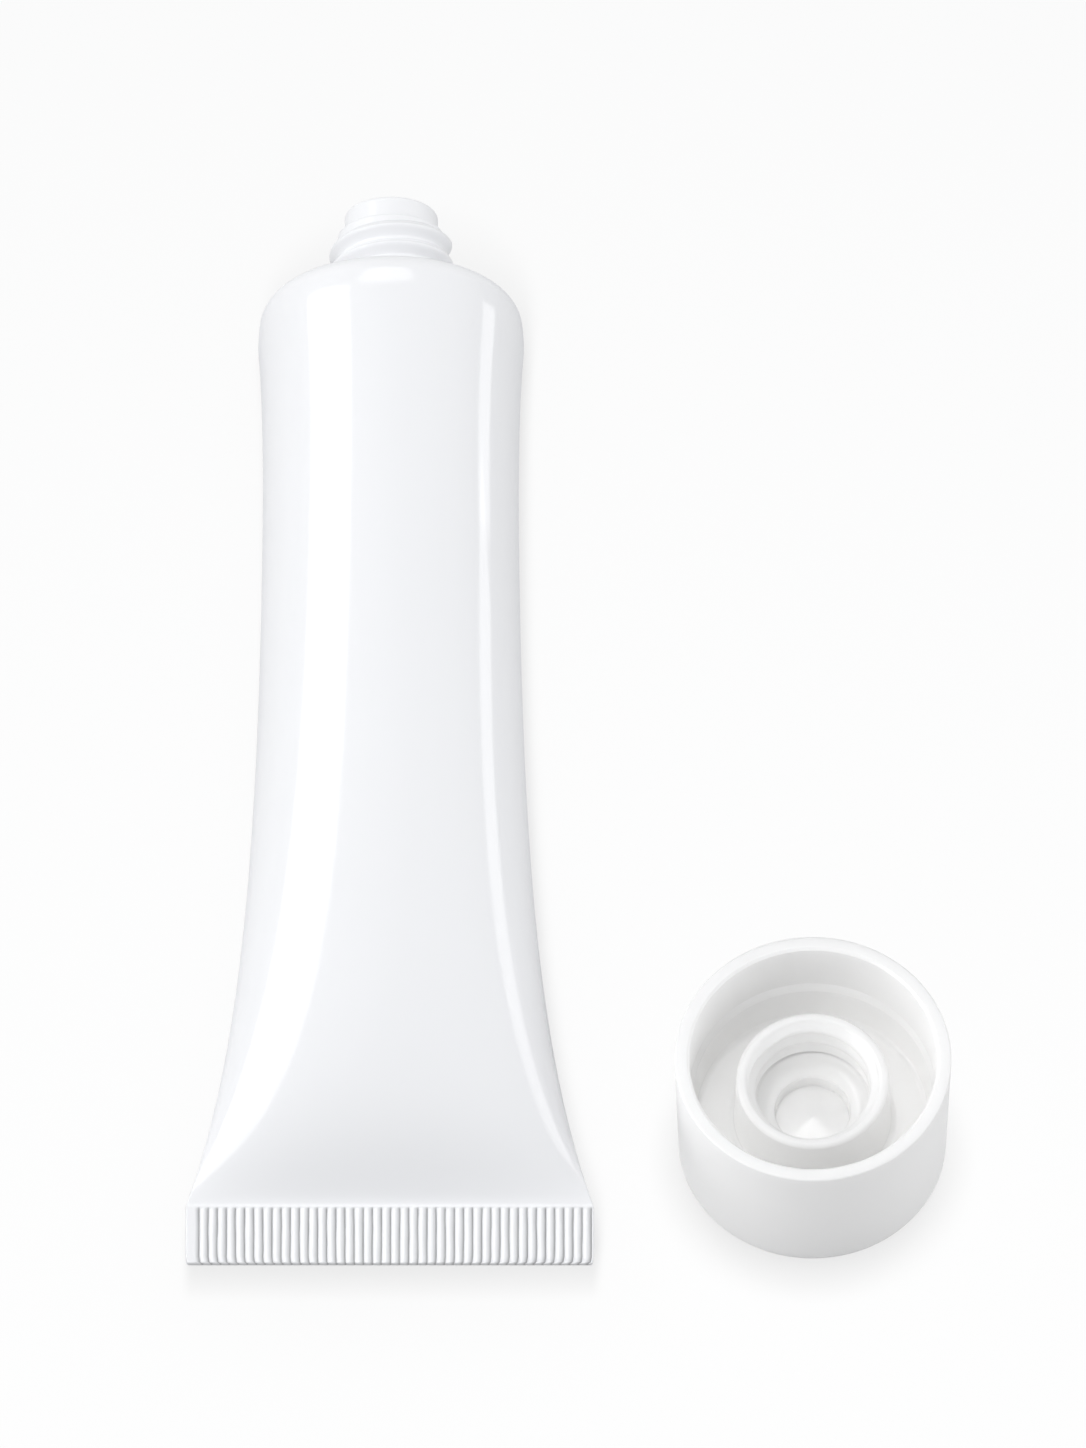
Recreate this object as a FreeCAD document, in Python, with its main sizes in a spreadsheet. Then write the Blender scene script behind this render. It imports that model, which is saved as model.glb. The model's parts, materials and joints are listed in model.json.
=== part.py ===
"""Cosmetic squeeze tube that lies on its side, with its screw cap stood mouth up beside it.

The tube is a soft extruded sleeve, flattened and welded shut at one end, with a moulded shoulder and
threaded neck welded into the other. In the tube's own frame the axis is Y: stations are counted from the
sealed end, and the seal lies flat in the XY plane. In the cap's own frame the closed end is at Z = 0 and
the mouth faces +Z. Lengths are in millimetres and angles in degrees.
"""

import FreeCAD, Part
import Sketcher
import math
import os

from FreeCAD import Placement, Rotation, Vector

# The driving dimensions. Each one becomes a cell of the spreadsheet, under the same name.
SIZES = {
    # the sleeve
    "sleeve_radius": 14.65,         # outside radius of the plain extruded sleeve
    "sleeve_wall": 0.45,            # wall of the sleeve
    "sleeve_length": 119.4,         # from the sealed end to the edge that meets the shoulder
    "waist_half_width": 14.1,       # half width that the body tends to, away from both of its ends
    "flare_length": 27.2,           # length over which the body spreads to the width of the seal
    "grip_length": 3.0,             # straight stretch of the sleeve that is welded to the shoulder's skirt
    "skirt_gap": 0.02,              # between that stretch and the skirt, over the radius
    "stretch_length": 9.2,          # length over which the stretched end settles to the waist
    # the sealed end
    "seal_length": 7.3,             # length of the welded strip
    "rib_length": 6.9,              # length of the ribs pressed into it, from its free edge
    "seal_thickness": 0.95,         # over the crests of the pressed ribs
    "rib_depth": 0.2,               # from the crest of a rib to the groove beside it
    "rib_count": 44,                # ribs over the width of the strip
    "rib_spacing": 0.14,            # flat groove between two ribs
    "seal_rise": 0.18,              # step up from the strip to the middle of the body
    # the shoulder and the neck
    "shoulder_radius": 15.1,        # widest radius of the moulded shoulder
    "shoulder_arc": 2.4,            # radius of the shoulder's rounded edge
    "shoulder_slope": 22.0,         # slope of the shoulder's top, in degrees
    "shoulder_wall": 1.45,          # wall of the shoulder
    "neck_radius": 6.1,             # root of the neck's thread
    "neck_length": 6.33,            # from the shoulder's top to the step below the tip
    "neck_fillet": 0.5,             # where the neck rises from the shoulder
    "tip_radius": 5.3,              # smooth tip above the thread
    "tip_length": 2.65,             # height of that tip
    "tip_edge": 0.45,               # rounding of the tip's outer edge
    "bore_radius": 4.5,             # inside of the neck
    "orifice_radius": 3.2,          # hole that the product leaves by
    "orifice_depth": 1.3,           # thickness of the tip's end around the orifice
    # the thread, on the neck and in the cap's collar
    "thread_pitch": 2.31,
    "thread_depth": 0.95,           # height of the ridge over its root
    "thread_base": 1.3,             # width of the ridge at its root
    "thread_crest": 0.5,            # width of the ridge at its crest
    "thread_clearance": 0.35,       # between the neck and the collar, over the radius
    "neck_lead": 0.45,              # plain stretch between the neck's thread and the step below the tip
    "collar_lead": 0.45,            # plain stretch between the collar's rim and its thread
    "seal_bore_length": 2.5,        # plain bore between the collar's thread and the ledge
    # the cap
    "cap_height": 20.2,
    "landing_inset": 0.85,          # how far inside the shoulder's widest radius the mouth lands on it
    "mouth_gap": 0.1,               # between the mouth and the shoulder when the ledge seals on the tip
    "mouth_chamfer": 0.3,           # inner edge of the mouth
    "rim_wall": 1.65,               # wall of the skirt at the mouth
    "cap_draft": 0.5,               # how much narrower the closed end is than the mouth, over the radius
    "cap_edge": 0.8,                # rounding of the closed end's edge
    "step_depth": 6.7,              # from the mouth down to the step in the skirt's wall
    "step_height": 0.95,            # height of the sloping step
    "step_width": 0.5,              # how much the step narrows the bore of the skirt
    "floor_depth": 14.45,           # from the mouth down to the floor around the collar
    "floor_draft": 0.3,             # how much narrower the skirt's bore is at the floor than at the step
    "floor_fillet": 0.7,            # rounding at the floor's two corners
    "collar_wall": 1.25,            # wall of the collar over the root of its thread
    "collar_depth": 5.1,            # from the mouth down to the collar's rim
    "collar_draft": 0.2,            # how much thicker the collar is at the floor
    "collar_lip": 0.45,             # rounding of the collar's rim
    "well_radius": 4.25,            # well in the middle of the cap's end
    "well_depth": 2.1,              # from the ledge down to the bottom of the well
    "well_cone": 0.35,              # rise of the shallow cone in the well
    # the place of the cap beside the tube
    "cap_gap": 9.1,                 # from the side of the seal across to the cap
    "cap_along": 22.7,              # from the sealed end along to the cap's axis
}

SECTION_COUNT = 13                  # cross-sections of the body between the seal and the straight stretch
SECTION_CROWDING = 1.5              # how strongly the cross-sections crowd towards the seal
SECTION_POINTS = 13                 # points that shape each half of a cross-section
CAVITY_START = 0.9                  # from the seal to the first cross-section of the cavity
CAVITY_EDGE = 0.1                   # half height of the cavity's narrow sides
SINK = 0.25                         # how far a thread's ridge reaches into the wall that carries it
PAST = 1.0                          # how far a cutting solid reaches past the face that it opens

document = FreeCAD.newDocument("squeeze_tube")


# ---------------------------------------------------------------- the spreadsheet

def make_sheet():
    """The spreadsheet of driving dimensions, one alias for each."""
    sheet = document.addObject("Spreadsheet::Sheet", "sizes")
    for row, (alias, value) in enumerate(SIZES.items(), 1):
        sheet.set(f"A{row}", alias)
        sheet.set(f"B{row}", str(value))
        sheet.setAlias(f"B{row}", alias)
    document.recompute()
    return sheet


sheet = make_sheet()


def size(alias):
    """The value of one driving dimension, read from the spreadsheet."""
    return float(sheet.get(alias))


def value_of(expression):
    """What an expression on the spreadsheet's cells comes to."""
    return float(sheet.evalExpression(expression))


# ---------------------------------------------------------------- the form of the sleeve

def straight_station():
    """Where the tapering body ends and the straight stretch on the shoulder's skirt begins."""
    return size("sleeve_length") - size("grip_length")


def half_width(station):
    """Half width of the body: it falls off from the width of the seal, and rises again at the shoulder."""
    seal_half_width = math.pi / 2 * size("sleeve_radius")
    flare = seal_half_width - size("waist_half_width")
    from_seal = station - size("seal_length")
    to_straight = straight_station() - station
    body = size("waist_half_width") + flare * math.exp(-from_seal / size("flare_length"))
    end_flare = flare * math.exp(-(straight_station() - size("seal_length")) / size("flare_length"))
    swell = size("shoulder_radius") - size("waist_half_width") - end_flare
    return body + swell * math.exp(-to_straight / size("stretch_length"))


def band_half_thickness():
    """Half thickness of the strip between its ribs."""
    return size("seal_thickness") / 2 - size("rib_depth")


def half_depth(station):
    """Half depth of the body, from the girth of the sleeve: Ramanujan's ellipse rule turned round. What
    the rule leaves at the seal, where the sleeve is flat, is replaced by the strip and its small rise."""
    to_straight = straight_station() - station
    stretch = math.exp(-to_straight / size("stretch_length"))
    radius = size("sleeve_radius") + (size("shoulder_radius") - size("sleeve_radius")) * stretch
    wide = min(half_width(station) / radius, math.pi / 2)
    depth = radius / 3 * (3 - 2 * wide + math.sqrt(3 + 6 * wide - 5 * wide ** 2))
    flat = math.pi / 2
    left_over = size("sleeve_radius") / 3 * (3 - 2 * flat + math.sqrt(3 + 6 * flat - 5 * flat ** 2))
    at_seal = band_half_thickness() + size("seal_rise")
    return math.sqrt(depth ** 2 - (left_over ** 2 - at_seal ** 2) * (1 - stretch))


def section_stations(first):
    """Stations of the cross-sections from the first one to the straight stretch, closer near the seal."""
    reach = straight_station() - first
    steps = range(SECTION_COUNT)
    return [first + reach * (step / (SECTION_COUNT - 1)) ** SECTION_CROWDING for step in steps]


def section_wire(wide, deep, edge, station):
    """An ellipse across the axis, cut off at each side by a short upright edge of this half height, so
    that it is as thick there as the welded strip."""
    start_turn = math.asin(edge / deep)
    sweep = math.pi - 2 * start_turn
    turns = [start_turn + sweep * step / (SECTION_POINTS - 1) for step in range(SECTION_POINTS)]
    stretch = wide / math.cos(start_turn)
    upper = Part.BSplineCurve()
    upper.interpolate([Vector(stretch * math.cos(turn), station, deep * math.sin(turn)) for turn in turns])
    lower = Part.BSplineCurve()
    lower.interpolate([Vector(-stretch * math.cos(turn), station, -deep * math.sin(turn)) for turn in turns])
    left = Part.LineSegment(upper.EndPoint, lower.StartPoint)
    right = Part.LineSegment(lower.EndPoint, upper.StartPoint)
    return Part.Wire([curve.toShape() for curve in (upper, left, lower, right)])


def body_solids(name, first, wall, edge, reach):
    """Loft through the body's cross-sections, each one drawn in by the wall, and the straight stretch that
    carries the last one on; reach is that stretch's length, as an expression."""
    sections = []
    for number, station in enumerate(section_stations(first), 1):
        section = document.addObject("Part::Feature", f"{name}_section_{number}")
        wide = half_width(station) - wall
        section.Shape = section_wire(wide, half_depth(station) - wall, edge, station)
        sections.append(section)
    loft = document.addObject("Part::Loft", name)
    loft.Sections = sections
    loft.Solid = True
    loft.Ruled = False
    return loft, along_axis(f"{name}_straight", sections[-1], reach)


def along_axis(name, outline, reach):
    """Extrude a closed outline along the axis; reach is an expression."""
    extrusion = document.addObject("Part::Extrusion", name)
    extrusion.Base = outline
    extrusion.DirMode = "Custom"
    extrusion.Dir = Vector(0, 1, 0)
    extrusion.Solid = True
    extrusion.setExpression("LengthFwd", reach)
    return extrusion


def rib_row(half, pitch, count, groove, crest):
    """Arched ribs from left to right at one face of the strip, with flat grooves between them."""
    flat = size("rib_spacing") / 2
    edges = []
    for rib in range(count):
        left = -half + rib * pitch
        right = left + pitch
        start = Vector(left + flat, 0, groove)
        end = Vector(right - flat, 0, groove)
        edges.append(Part.LineSegment(Vector(left, 0, groove), start).toShape())
        edges.append(Part.Arc(start, Vector(left + pitch / 2, 0, crest), end).toShape())
        edges.append(Part.LineSegment(end, Vector(right, 0, groove)).toShape())
    return edges


def ribbed_outline():
    """Cross-section of the ribbed part of the strip: arched ribs on each face, and two flat sides."""
    half = math.pi / 2 * size("sleeve_radius")
    count = round(size("rib_count"))
    pitch = 2 * half / count
    crest = size("seal_thickness") / 2
    groove = band_half_thickness()
    right = Part.LineSegment(Vector(half, 0, groove), Vector(half, 0, -groove)).toShape()
    left = Part.LineSegment(Vector(-half, 0, -groove), Vector(-half, 0, groove)).toShape()
    upper = rib_row(half, pitch, count, groove, crest)
    lower = rib_row(half, pitch, count, -groove, -crest)
    outline = document.addObject("Part::Feature", "ribbed_outline")
    outline.Shape = Part.Wire(upper + [right] + lower[::-1] + [left])
    return outline


def make_sleeve():
    """The sleeve: flattened body, ribbed seal and straight end, hollow up to the seal."""
    outside, outer_end = body_solids(
        "sleeve_outside", size("seal_length"), 0.0, band_half_thickness(), "sizes.grip_length"
    )
    inside, inner_end = body_solids(
        "sleeve_inside", size("seal_length") + CAVITY_START, size("sleeve_wall"), CAVITY_EDGE,
        f"sizes.grip_length + {PAST}",
    )
    ribs = along_axis("seal_ribs", ribbed_outline(), "sizes.rib_length")
    band = document.addObject("Part::Box", "seal_band")
    band.setExpression("Length", "pi * sizes.sleeve_radius")
    band.setExpression("Width", "sizes.seal_length - sizes.rib_length")
    band.setExpression("Height", "sizes.seal_thickness - 2 * sizes.rib_depth")
    band.setExpression("Placement.Base.x", "-pi / 2 * sizes.sleeve_radius")
    band.setExpression("Placement.Base.y", "sizes.rib_length")
    band.setExpression("Placement.Base.z", "sizes.rib_depth - sizes.seal_thickness / 2")
    skin = document.addObject("Part::MultiFuse", "sleeve_skin")
    skin.Shapes = [ribs, band, outside, outer_end]
    cavity = document.addObject("Part::MultiFuse", "sleeve_cavity")
    cavity.Shapes = [inside, inner_end]
    sleeve = document.addObject("Part::Cut", "tube_sleeve")
    sleeve.Base = skin
    sleeve.Tool = cavity
    return sleeve


# ---------------------------------------------------------------- turned pieces

def turned_sketch(body, name, role, corners):
    """A closed profile beside the axis. Each corner is (across, along, arc), all of them expressions;
    arc is the radius of the arc that leads on to the next corner, or None for a straight line."""
    plane = next(item for item in body.Origin.OriginFeatures if item.Role == role)
    sketch = body.newObject("Sketcher::SketchObject", name)
    sketch.AttachmentSupport = [(plane, "")]
    sketch.MapMode = "FlatFace"
    points = []
    for across, along, arc in corners:
        points.append(Vector(value_of(across), value_of(along), 0))
    count = len(corners)
    backward = set()
    for index, (across, along, arc) in enumerate(corners):
        start = points[index]
        end = points[(index + 1) % count]
        if arc is None:
            sketch.addGeometry(Part.LineSegment(start, end))
            continue
        curve, runs_back = shoulder_arc(start, end, value_of(arc))
        sketch.addGeometry(curve)
        if runs_back:
            backward.add(index)
    for index in range(count):
        following = (index + 1) % count
        own_end = 1 if index in backward else 2
        next_start = 2 if following in backward else 1
        sketch.addConstraint(Sketcher.Constraint("Coincident", index, own_end, following, next_start))
    for index, (across, along, arc) in enumerate(corners):
        own_start = 2 if index in backward else 1
        bind(sketch, "DistanceX", f"across_{index}", index, own_start, across)
        bind(sketch, "DistanceY", f"along_{index}", index, own_start, along)
        if arc is not None:
            number = sketch.addConstraint(Sketcher.Constraint("Radius", index, value_of(arc)))
            sketch.renameConstraint(number, f"arc_{index}")
            sketch.setExpression(f"Constraints.arc_{index}", arc)
    return sketch


def shoulder_arc(start, end, radius):
    """The shorter arc of this radius between two corners, hollow towards the axis, as the sketcher wants
    it: turning left about +Z. Says too whether it runs back, from the end to the start."""
    middle = (start + end) * 0.5
    chord = end - start
    inward = Vector(chord.y, -chord.x, 0)
    if inward.x > 0:
        inward = inward * -1
    inward.normalize()
    centre = middle + inward * math.sqrt(radius ** 2 - (chord.Length / 2) ** 2)
    at_start = math.atan2(start.y - centre.y, start.x - centre.x)
    at_end = math.atan2(end.y - centre.y, end.x - centre.x)
    circle = Part.Circle(centre, Vector(0, 0, 1), radius)
    curve = Part.ArcOfCircle(circle, min(at_start, at_end), max(at_start, at_end))
    return curve, at_end < at_start


def bind(sketch, kind, name, index, point, expression):
    """Hold one coordinate of a corner, measured from the sketch's origin, at an expression."""
    constraint = Sketcher.Constraint(kind, -1, 1, index, point, value_of(expression))
    number = sketch.addConstraint(constraint)
    sketch.renameConstraint(number, name)
    sketch.setExpression(f"Constraints.{name}", expression)


def turned_solid(body, name, sketch):
    """Revolve a profile fully about the sketch's vertical axis."""
    solid = body.newObject("PartDesign::Revolution", name)
    solid.Profile = sketch
    solid.ReferenceAxis = (sketch, ["V_Axis"])
    solid.Angle = 360.0
    document.recompute()
    return solid


def circle_edges(feature, across, along, axis):
    """Names of the feature's circular edges with this radius, at this place along the axis."""
    radius = value_of(across)
    place = value_of(along)
    names = []
    for number, edge in enumerate(feature.Shape.Edges, 1):
        if not isinstance(edge.Curve, Part.Circle):
            continue
        centre = edge.Curve.Center
        if abs(edge.Curve.Radius - radius) < 1e-4 and abs(getattr(centre, axis) - place) < 1e-4:
            names.append(f"Edge{number}")
    if not names:
        raise RuntimeError(f"no circular edge at {across}, {along}")
    return names


def rounded(body, name, places, radius, axis):
    """Fillet the circular edges at these places on the body's latest feature."""
    base = body.Tip
    names = []
    for across, along in places:
        names.extend(circle_edges(base, across, along, axis))
    fillet = body.newObject("PartDesign::Fillet", name)
    fillet.Base = (base, names)
    fillet.setExpression("Radius", radius)
    document.recompute()
    return fillet


def thread_ridge(body, name, role, foot, crest, start, end):
    """Sweep a ridge along a right-hand helix about the sketch's vertical axis, between two places of its
    middle line. The foot and the crest are places across the axis, negative where it begins at the left."""
    sketch = turned_sketch(body, f"{name}_profile", role, [
        (foot, f"{start} - sizes.thread_base / 2", None),
        (foot, f"{start} + sizes.thread_base / 2", None),
        (crest, f"{start} + sizes.thread_crest / 2", None),
        (crest, f"{start} - sizes.thread_crest / 2", None),
    ])
    ridge = body.newObject("PartDesign::AdditiveHelix", name)
    ridge.Profile = sketch
    ridge.ReferenceAxis = (sketch, ["V_Axis"])
    ridge.Mode = "pitch-turns-angle"
    ridge.LeftHanded = False
    ridge.setExpression("Pitch", "sizes.thread_pitch")
    ridge.setExpression("Turns", f"({end} - {start}) / sizes.thread_pitch")
    document.recompute()
    return ridge


# ---------------------------------------------------------------- shoulder and neck

SLOPE = "(sizes.shoulder_slope * 1 deg)"
ARC_CENTRE = "(sizes.shoulder_radius - sizes.shoulder_arc)"
INNER_ARC = "(sizes.shoulder_arc - sizes.shoulder_wall)"
OUTER_TURN = f"({ARC_CENTRE} + sizes.shoulder_arc * sin({SLOPE}))"
OUTER_TURN_STATION = f"(sizes.sleeve_length + sizes.shoulder_arc * cos({SLOPE}))"
INNER_TURN = f"({ARC_CENTRE} + {INNER_ARC} * sin({SLOPE}))"
INNER_TURN_STATION = f"(sizes.sleeve_length + {INNER_ARC} * cos({SLOPE}))"
NECK_STATION = f"({OUTER_TURN_STATION} + ({OUTER_TURN} - sizes.neck_radius) * tan({SLOPE}))"
BORE_STATION = f"({INNER_TURN_STATION} + ({INNER_TURN} - sizes.bore_radius) * tan({SLOPE}))"
STEP_STATION = f"({NECK_STATION} + sizes.neck_length)"
TIP_STATION = f"({STEP_STATION} + sizes.tip_length)"
NECK_THREAD_START = f"({NECK_STATION} - sizes.shoulder_wall / 2)"
NECK_THREAD_END = f"({STEP_STATION} - sizes.neck_lead - sizes.thread_base / 2)"


def make_head():
    """The moulded shoulder, threaded neck and tip, turned about the tube's axis."""
    body = document.addObject("PartDesign::Body", "tube_head")
    skirt = "(sizes.shoulder_radius - sizes.sleeve_wall - sizes.skirt_gap)"
    inside = "(sizes.shoulder_radius - sizes.shoulder_wall)"
    skirt_start = "(sizes.sleeve_length - sizes.grip_length)"
    orifice_station = f"({TIP_STATION} - sizes.orifice_depth)"
    sketch = turned_sketch(body, "head_profile", "XY_Plane", [
        (skirt, skirt_start, None),
        (skirt, "sizes.sleeve_length", None),
        ("sizes.shoulder_radius", "sizes.sleeve_length", "sizes.shoulder_arc"),
        (OUTER_TURN, OUTER_TURN_STATION, None),
        ("sizes.neck_radius", NECK_STATION, None),
        ("sizes.neck_radius", STEP_STATION, None),
        ("sizes.tip_radius", STEP_STATION, None),
        ("sizes.tip_radius", TIP_STATION, None),
        ("sizes.orifice_radius", TIP_STATION, None),
        ("sizes.orifice_radius", orifice_station, None),
        ("sizes.bore_radius", orifice_station, None),
        ("sizes.bore_radius", BORE_STATION, None),
        (INNER_TURN, INNER_TURN_STATION, INNER_ARC),
        (inside, "sizes.sleeve_length", None),
        (inside, skirt_start, None),
    ])
    turned_solid(body, "head_turned", sketch)
    rounded(body, "tip_rounding", [("sizes.tip_radius", TIP_STATION)], "sizes.tip_edge", "y")
    rounded(body, "neck_rounding", [("sizes.neck_radius", NECK_STATION)], "sizes.neck_fillet", "y")
    foot = f"-(sizes.neck_radius - {SINK})"
    crest = "-(sizes.neck_radius + sizes.thread_depth)"
    thread_ridge(body, "neck_thread", "XY_Plane", foot, crest, NECK_THREAD_START, NECK_THREAD_END)
    return body


# ---------------------------------------------------------------- cap

LANDING = "(sizes.shoulder_radius - sizes.landing_inset)"
LANDING_STATION = (
    f"(sizes.sleeve_length + sqrt(sizes.shoulder_arc ^ 2 - ({LANDING} - {ARC_CENTRE}) ^ 2))"
)
MOUTH_BORE = f"({LANDING} - sizes.mouth_chamfer)"
MOUTH_RADIUS = f"({MOUTH_BORE} + sizes.rim_wall)"
CLOSED_RADIUS = f"({MOUTH_RADIUS} - sizes.cap_draft)"
THREAD_ROOT = "(sizes.neck_radius + sizes.thread_depth + sizes.thread_clearance)"
SEAL_BORE = "(sizes.neck_radius + sizes.thread_clearance)"
COLLAR_RADIUS = f"({THREAD_ROOT} + sizes.collar_wall)"
COLLAR_RIM = "(sizes.cap_height - sizes.collar_depth)"
FLOOR_LEVEL = "(sizes.cap_height - sizes.floor_depth)"
LEDGE_LEVEL = f"(sizes.cap_height - ({TIP_STATION} - {LANDING_STATION} - sizes.mouth_gap))"
WELL_LEVEL = f"({LEDGE_LEVEL} - sizes.well_depth)"
THREAD_FOOT = f"({LEDGE_LEVEL} + sizes.seal_bore_length + sizes.thread_clearance)"
COLLAR_THREAD_START = f"({THREAD_FOOT} + sizes.thread_base / 2)"
COLLAR_THREAD_END = f"({COLLAR_RIM} - sizes.collar_lead - sizes.thread_base / 2)"


def make_cap():
    """The cap, one moulding: skirt, floor, threaded collar, sealing ledge and well."""
    body = document.addObject("PartDesign::Body", "screw_cap")
    step_bore = f"({MOUTH_BORE} - sizes.step_width)"
    step_level = "(sizes.cap_height - sizes.step_depth)"
    sketch = turned_sketch(body, "cap_profile", "XZ_Plane", [
        ("0", "0", None),
        (CLOSED_RADIUS, "0", None),
        (MOUTH_RADIUS, "sizes.cap_height", None),
        (LANDING, "sizes.cap_height", None),
        (MOUTH_BORE, "sizes.cap_height - sizes.mouth_chamfer", None),
        (MOUTH_BORE, step_level, None),
        (step_bore, f"{step_level} - sizes.step_height", None),
        (f"{step_bore} - sizes.floor_draft", FLOOR_LEVEL, None),
        (f"{COLLAR_RADIUS} + sizes.collar_draft", FLOOR_LEVEL, None),
        (COLLAR_RADIUS, COLLAR_RIM, None),
        (THREAD_ROOT, COLLAR_RIM, None),
        (THREAD_ROOT, THREAD_FOOT, None),
        (SEAL_BORE, f"{LEDGE_LEVEL} + sizes.seal_bore_length", None),
        (SEAL_BORE, LEDGE_LEVEL, None),
        ("sizes.well_radius", LEDGE_LEVEL, None),
        ("sizes.well_radius", WELL_LEVEL, None),
        ("0", f"{WELL_LEVEL} + sizes.well_cone", None),
    ])
    turned_solid(body, "cap_turned", sketch)
    rounded(body, "closed_edge", [(CLOSED_RADIUS, "0")], "sizes.cap_edge", "z")
    rounded(body, "collar_edge", [
        (COLLAR_RADIUS, COLLAR_RIM),
        (THREAD_ROOT, COLLAR_RIM),
    ], "sizes.collar_lip", "z")
    rounded(body, "floor_corners", [
        (f"{step_bore} - sizes.floor_draft", FLOOR_LEVEL),
        (f"{COLLAR_RADIUS} + sizes.collar_draft", FLOOR_LEVEL),
    ], "sizes.floor_fillet", "z")
    foot = f"({THREAD_ROOT} + {SINK})"
    crest = f"({THREAD_ROOT} - sizes.thread_depth)"
    thread_ridge(body, "collar_thread", "XZ_Plane", foot, crest, COLLAR_THREAD_START, COLLAR_THREAD_END)
    return body


# ---------------------------------------------------------------- laying the pieces out

def resting_tilt(pieces):
    """How far the neck rises when the tube lies on its belly: the belly is level below the middle of
    its weight."""
    volume = sum(piece.Shape.Volume for piece in pieces)
    moment = sum(piece.Shape.Volume * piece.Shape.CenterOfGravity.y for piece in pieces)
    middle = moment / volume
    step = 0.5
    slope = (half_depth(middle + step) - half_depth(middle - step)) / (2 * step)
    return math.degrees(math.atan(slope))


def bounds(shapes):
    """The box around several shapes."""
    box = FreeCAD.BoundBox()
    for shape in shapes:
        box.add(shape.optimalBoundingBox(False, False))
    return box


def lay_out(tube_pieces, cap):
    """Lay the tube on its belly and stand the cap beside it, with the origin at the middle of the whole
    object's box, on the surface that both rest on."""
    lying = Rotation(Vector(1, 0, 0), resting_tilt(tube_pieces))
    for piece in tube_pieces:
        piece.Placement = Placement(Vector(0, 0, 0), lying)
    aside = math.pi / 2 * size("sleeve_radius") + size("cap_gap") + value_of(MOUTH_RADIUS)
    cap.Placement = Placement(Vector(aside, size("cap_along"), 0), Rotation())
    document.recompute()
    tube_box = bounds([piece.Shape for piece in tube_pieces])
    cap_box = bounds([cap.Shape])
    whole = FreeCAD.BoundBox(tube_box)
    whole.add(cap_box)
    for piece in tube_pieces:
        piece.Placement = Placement(Vector(-whole.Center.x, -whole.Center.y, -tube_box.ZMin), lying)
    cap_place = cap.Placement.Base - Vector(whole.Center.x, whole.Center.y, cap_box.ZMin)
    cap.Placement = Placement(cap_place, Rotation())
    document.recompute()


def check_document(pieces):
    """Stop if any object failed to compute, or a piece is not one valid solid."""
    for item in document.Objects:
        if "Invalid" in item.State or "Error" in item.State:
            raise RuntimeError(f"{item.Name} failed: {item.State}")
    for piece in pieces:
        shape = piece.Shape
        if shape.isNull() or not shape.isValid() or len(shape.Solids) != 1:
            raise RuntimeError(f"{piece.Label} is not one valid solid")


def main():
    sleeve = make_sleeve()
    head = make_head()
    cap = make_cap()
    document.recompute()
    pieces = [sleeve, head, cap]
    check_document(pieces)
    lay_out([sleeve, head], cap)
    check_document(pieces)
    os.makedirs("parts", exist_ok=True)
    for piece in pieces:
        piece.Shape.exportStep(f"parts/{piece.Label}.step")
        box = piece.Shape.optimalBoundingBox(False, False)
        print(piece.Label, f"volume {piece.Shape.Volume:.1f}", box)


main()
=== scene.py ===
"""Cosmetic squeeze tube lying on a pale floor, with its screw cap stood mouth up beside it.

Each piece is a surface worked out on a grid: the sleeve from its half width and half depth at every
station along the tube, the shoulder with its neck and the cap from a turned profile with a helical ridge
laid over it. Lengths are in metres. Stations are counted along the tube from its welded end.
"""

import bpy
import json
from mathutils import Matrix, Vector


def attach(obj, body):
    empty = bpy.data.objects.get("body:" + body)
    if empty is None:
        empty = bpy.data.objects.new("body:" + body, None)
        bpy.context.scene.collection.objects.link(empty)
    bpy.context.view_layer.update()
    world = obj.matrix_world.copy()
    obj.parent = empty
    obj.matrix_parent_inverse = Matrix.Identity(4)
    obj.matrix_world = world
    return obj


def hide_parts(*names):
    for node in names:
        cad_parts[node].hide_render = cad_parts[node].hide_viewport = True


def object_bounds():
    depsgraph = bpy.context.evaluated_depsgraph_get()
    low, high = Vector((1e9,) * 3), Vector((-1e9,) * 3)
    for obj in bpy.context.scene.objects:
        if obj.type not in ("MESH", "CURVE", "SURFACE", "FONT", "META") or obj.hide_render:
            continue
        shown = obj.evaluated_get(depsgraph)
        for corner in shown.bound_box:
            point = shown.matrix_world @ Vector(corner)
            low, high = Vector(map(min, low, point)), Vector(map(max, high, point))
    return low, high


bl_info = {
    "name": "Squeeze Tube",
    "version": (1, 0, 0),
    "blender": (4, 5, 0),
    "location": "3D View > Sidebar > Squeeze Tube",
    "description": "Makes a white squeeze tube with its screw cap beside it, and the studio around them",
    "category": "Add Mesh",
}

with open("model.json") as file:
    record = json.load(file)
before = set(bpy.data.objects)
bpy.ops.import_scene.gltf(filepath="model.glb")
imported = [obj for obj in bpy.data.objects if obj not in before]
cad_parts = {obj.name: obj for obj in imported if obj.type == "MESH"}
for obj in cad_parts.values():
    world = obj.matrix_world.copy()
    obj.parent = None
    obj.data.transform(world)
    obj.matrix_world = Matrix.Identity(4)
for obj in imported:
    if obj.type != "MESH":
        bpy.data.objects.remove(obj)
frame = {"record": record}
cad_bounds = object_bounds()

import json
import math

import bmesh
import bpy
import numpy as np
from bpy.props import FloatProperty, FloatVectorProperty, IntProperty, PointerProperty
from bpy.types import Operator, Panel, PropertyGroup
from mathutils import Quaternion, Vector

MM = 0.001
EXTRUDED_GRAIN = 0.4e-6  # height of the extruded sleeve's grain
MOULDED_GRAIN = 0.25e-6  # height of the mouldings' grain
MERGE_DISTANCE = 2e-7
SHORTEST_EDGE = 1e-8
SHARP_ANGLE = math.radians(55.0)
MOUNTS = {mount["name"]: mount for mount in frame["record"]["mounts"]}


# ---------------------------------------------------------------- sizes and colours

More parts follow.
